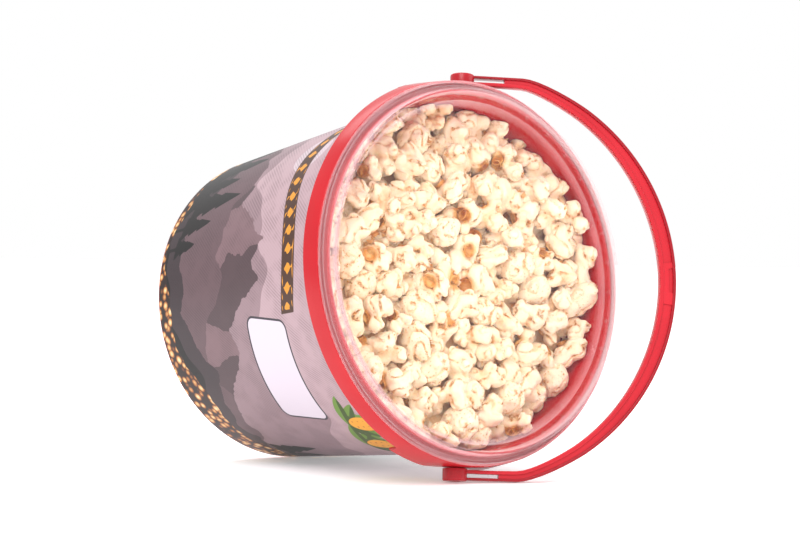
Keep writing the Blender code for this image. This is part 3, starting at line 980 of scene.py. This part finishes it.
# The torn hull: a thin shell that lines a cup and stands a little out of it, with an uneven edge
def branShell(at, d, size, rng):
    shell = addBall((0, 0, 0), size * 0.97, 3)
    bpy.ops.object.mode_set(mode="EDIT")
    bpy.ops.mesh.select_all(action="SELECT")
    bpy.ops.mesh.bisect(plane_co=(0, 0, size * -0.05), plane_no=(0, 0, 1), clear_outer=True)
    bpy.ops.object.mode_set(mode="OBJECT")
    for vertex in shell.data.vertices:
        rise = smoothStep((vertex.co.z + size * 0.6) / size)
        vertex.co *= 1 + 0.16 * rise * noise.noise(vertex.co / 1.3 + Vector((rng.uniform(0, 9), 0, 0)))
    applyModifier(shell, "SOLIDIFY", thickness=0.22, offset=0.0)
    shell.data.transform(d.to_track_quat("Z", "Y").to_matrix().to_4x4())
    shell.data.transform(Matrix.Translation(at))
    shell.location = (0, 0, 0)
    return shell


def popKernel(name, shape, rng, shift):
    deselectAll()
    balls = [addBall((0, 0, 0), shape["core"], 3)]
    for d in spreadDirections(rng, shape["puffs"], -0.4):
        size = rng.uniform(*shape["size"])
        at = d * shape["spread"] * rng.uniform(0.8, 1.2)
        at.y *= shape["flat"]
        balls.append(addBall(at, size, 3))
        for _ in range(shape["bumps"]):
            out = (d + randomDirection(rng) * 0.95).normalized()
            balls.append(addBall(at + out * size * rng.uniform(0.6, 0.9), size * rng.uniform(0.35, 0.65)))
    kernel = joinAll(balls, name)
    applyModifier(kernel, "REMESH", mode="VOXEL", voxel_size=0.5)
    # Open cups at its foot, where the hull tore
    cups = []
    for i in range(shape["cups"]):
        d = Vector((0.75 * i, 0.45 * i, -1)).normalized()
        hit = kernel.ray_cast(d * 40, -d)[1]
        cups.append((hit - d * 0.5, d, rng.uniform(2.4, 3.2)))
    for at, d, size in cups:
        for vertex in kernel.data.vertices:
            out = vertex.co - at
            if out.length < size:
                along = out.dot(d)
                vertex.co = at + (out - d * along) - d * math.sqrt(size ** 2 - out.length ** 2 + along ** 2)
    applyModifier(kernel, "REMESH", mode="VOXEL", voxel_size=0.45)
    applyModifier(kernel, "SMOOTH", factor=0.5, iterations=4)
    seedAt = Vector((shift * 11.0, 0, 0))
    solid = meshTree(kernel.data)
    for vertex in kernel.data.vertices:
        co = vertex.co.copy()
        swell = noise.noise(co / 4.5 + seedAt)
        crease = max(0.0, 0.15 - abs(noise.noise(co / 7.0 - seedAt))) / 0.15
        wrinkle = noise.noise(co / 1.6 + seedAt)
        pebble = 0.5 - noise.voronoi(co / 2.3)[0][0]
        push = 0.9 * swell - 1.25 * crease + 0.26 * wrinkle + shape["pebble"] * pebble
        # No deeper than the thin places can take
        far = solid.ray_cast(co - vertex.normal * 0.03, -vertex.normal)[0]
        room = (far - co).length if far else 9.0
        vertex.co += vertex.normal * max(push, -0.2 * room)
    applyModifier(kernel, "DECIMATE", ratio=min(1.0, heap["faces"] / (2 * len(kernel.data.polygons))))
    return kernel, cups


# How folded in each point is: the share of short rays that meet the kernel again. The foam turns it into
# a golden tone and painted shade in the folds. Cups count as the deepest.
def markFolds(kernel, cups, rng):
    mesh = kernel.data
    tree = meshTree(mesh)
    foldTintAndShade = mesh.attributes.new("foldTintAndShade", "FLOAT", "POINT")
    bran = mesh.attributes.new("bran", "FLOAT", "POINT")
    rays = [randomDirection(rng) for _ in range(24)]
    for vertex in mesh.vertices:
        hits = total = 0
        for ray in rays:
            if ray.dot(vertex.normal) > 0.15:
                total += 1
                start = vertex.co + vertex.normal * 0.15
                hits += tree.ray_cast(start, ray, 6.0)[0] is not None
        foldTintAndShade.data[vertex.index].value = hits / max(total, 1)
        near = min([(vertex.co - at).length / size for at, _, size in cups] + [9.0])
        bran.data[vertex.index].value = 1.0 - smoothStep((near - 1.0) / 0.8)


# Places the kernels by pushing balls apart under the top of the heap
def packKernels(rng):
    count, gap = heap["kernels"], heap["gap"]
    inside = wallRadius(165) - pail["wall"] - 0.4
    places = np.zeros((count, 3))
    for i in range(count):
        r = (inside - 8) * math.sqrt(rng.random())
        a = rng.uniform(0, 2 * math.pi)
        x, y = r * math.cos(a), r * math.sin(a)
        places[i] = x, y, heapTop(x, y) - rng.uniform(7, heap["depth"])
    for _ in range(heap["rounds"]):
        apart = places[:, None] - places[None]
        length = np.linalg.norm(apart, axis=2) + np.eye(count) * 99
        push = np.clip(2 * gap - length, 0, None) * 0.5
        places += (apart / length[..., None] * push[..., None]).sum(axis=1) * 0.6
        places[:, 2] += 0.25
        flat = np.linalg.norm(places[:, :2], axis=1)
        over = np.clip(flat - (inside - heap["fromWall"]), 0, None)
        places[:, :2] -= places[:, :2] / flat[:, None] * over[:, None]
        for place in places:
            top = heapTop(*place[:2])
            place[2] = min(max(place[2], top - heap["depth"]), top - heap["underTop"])
    return places


def scatterPopcorn():
    rng = random.Random(heap["seed"])
    places = packKernels(rng)
    order = list(range(len(places)))
    rng.shuffle(order)
    names = list(kernelKinds)
    inside = wallRadius(170) - pail["wall"] - 0.5
    made = []
    for k, name in enumerate(names):
        shape = dict(zip(kernelParts, kernelKinds[name]))
        kernel, cups = popKernel(name, shape, rng, k)
        markFolds(kernel, cups, rng)
        addLayer(kernel.data, "speckle", min(1.0, shape["pebble"] * 1.4))
        kernel.data.materials.append(foam)
        kernel.data.materials.append(branSkin)
        # The skin of its torn hulls is each kernel's second material
        if cups:
            shells = [branShell(at, d, size, rng) for at, d, size in cups]
            for shell in shells:
                shell.data.materials.append(foam)
                shell.data.materials.append(branSkin)
                for polygon in shell.data.polygons:
                    polygon.material_index = 1
            kernel = joinAll([kernel] + shells, name)
        copies = []
        for i in order[k::len(names)]:
            copy = kernel.copy()
            copy.data = kernel.data.copy()
            bpy.context.scene.collection.objects.link(copy)
            size = [heap["grow"] * rng.uniform(*heap["stretch"]) for _ in range(3)]
            turn = Matrix.Rotation(rng.uniform(0, 2 * math.pi), 4, randomDirection(rng))
            copy.data.transform(Matrix.Translation(places[i]) @ turn @ Matrix.Diagonal((*size, 1)))
            addLayer(copy.data, "toast", rng.gauss(0, heap["toast"]))
            copies.append(copy)
        bpy.data.objects.remove(kernel)
        piece = joinAll(copies, name)
        # What reaches past the wall's inside is pressed back to it
        for vertex in piece.data.vertices:
            r = math.hypot(vertex.co.x, vertex.co.y)
            if r > inside:
                vertex.co.x *= inside / r
                vertex.co.y *= inside / r
        finishPiece(piece, None, "bucket", pailPlace, smoothAngle=60)
        made.append(piece)
    return made


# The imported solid, with its top drawn lower, fills the heap between the loose kernels
def makeCore():
    deselectAll()
    core = heapNode.copy()
    core.data = heapNode.data.copy()
    core.parent = None
    bpy.context.scene.collection.objects.link(core)
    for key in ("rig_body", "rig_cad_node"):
        if key in core:
            del core[key]
    core.name = "popcornCore"
    core.data.transform(pailInverse)
    activate(core)
    bpy.ops.object.mode_set(mode="EDIT")
    closeMesh()
    for vertex in core.data.vertices:
        if vertex.co.z > 100:
            vertex.co.z -= heap["coreDrop"]
    applyModifier(core, "SUBSURF", levels=2, render_levels=2)
    # Painted shade: the core gets a middling fold value, so it shows darker in the gaps between kernels
    for name, value in (("foldTintAndShade", 0.5), ("toast", 0.05), ("bran", 0.0), ("speckle", 0.0)):
        addLayer(core.data, name, value)
    finishPiece(core, foam, "bucket", pailPlace, smoothAngle=60)
    return core


popcornPieces = [makeCore()] + scatterPopcorn()
for piece in popcornPieces:
    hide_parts("popcorn")
print("popcorn made:", sum(len(piece.data.polygons) for piece in popcornPieces), "faces")


def makeStage():
    deselectAll()
    bpy.ops.mesh.primitive_plane_add(size=60, location=(0, 0, 0))
    floor = bpy.context.object
    floor.name = "paleFloor"
    white = (1, 1, 1, 1)
    paper = {"Base Color": white, "Roughness": 0.9, "Emission Color": white, "Emission Strength": 0.3}
    floor.data.materials.append(newMaterial("mattWhitePaper", paper)[0])
    world = bpy.data.worlds.new("softStudio")
    world.use_nodes = True
    background = world.node_tree.nodes["Background"]
    background.inputs["Color"].default_value = white
    background.inputs["Strength"].default_value = 1.0
    bpy.context.scene.world = world
    lights = {
        "keySoftbox": {"at": (-1.3, -1.2, 1.7), "size": 1.4, "power": 34},
        "sideSoftbox": {"at": (1.5, -1.3, 1.0), "size": 1.2, "power": 6},
        "topSoftbox": {"at": (0.2, 0.6, 2.0), "size": 1.6, "power": 22},
    }
    for name, spec in lights.items():
        bpy.ops.object.light_add(type="AREA", location=spec["at"])
        lamp = bpy.context.object
        lamp.name = name
        lamp.data.size = spec["size"]
        lamp.data.energy = spec["power"]
        lamp.rotation_euler = (Vector((0, 0, 0.1)) - lamp.location).to_track_quat("-Z", "Y").to_euler()


def makeCamera():
    view = {
        "at": (-0.79061, -1.00763, 0.13051), "yaw": -38.214, "down": 0.273, "roll": 0.79,
        "lens": 94.5, "sensor": 36.0, "farthest": 100.0,
    }
    bpy.ops.object.camera_add(location=view["at"])
    camera = bpy.context.object
    turn = (
        Matrix.Rotation(math.radians(view["yaw"]), 3, "Z")
        @ Matrix.Rotation(math.radians(90 - view["down"]), 3, "X")
        @ Matrix.Rotation(math.radians(view["roll"]), 3, "Z")
    )
    camera.rotation_euler = turn.to_euler()
    camera.data.lens = view["lens"]
    camera.data.sensor_width = view["sensor"]
    camera.data.clip_end = view["farthest"]
    bpy.context.scene.camera = camera


makeStage()
makeCamera()
bpy.context.scene.view_settings.view_transform = "Standard"
print("stage made")
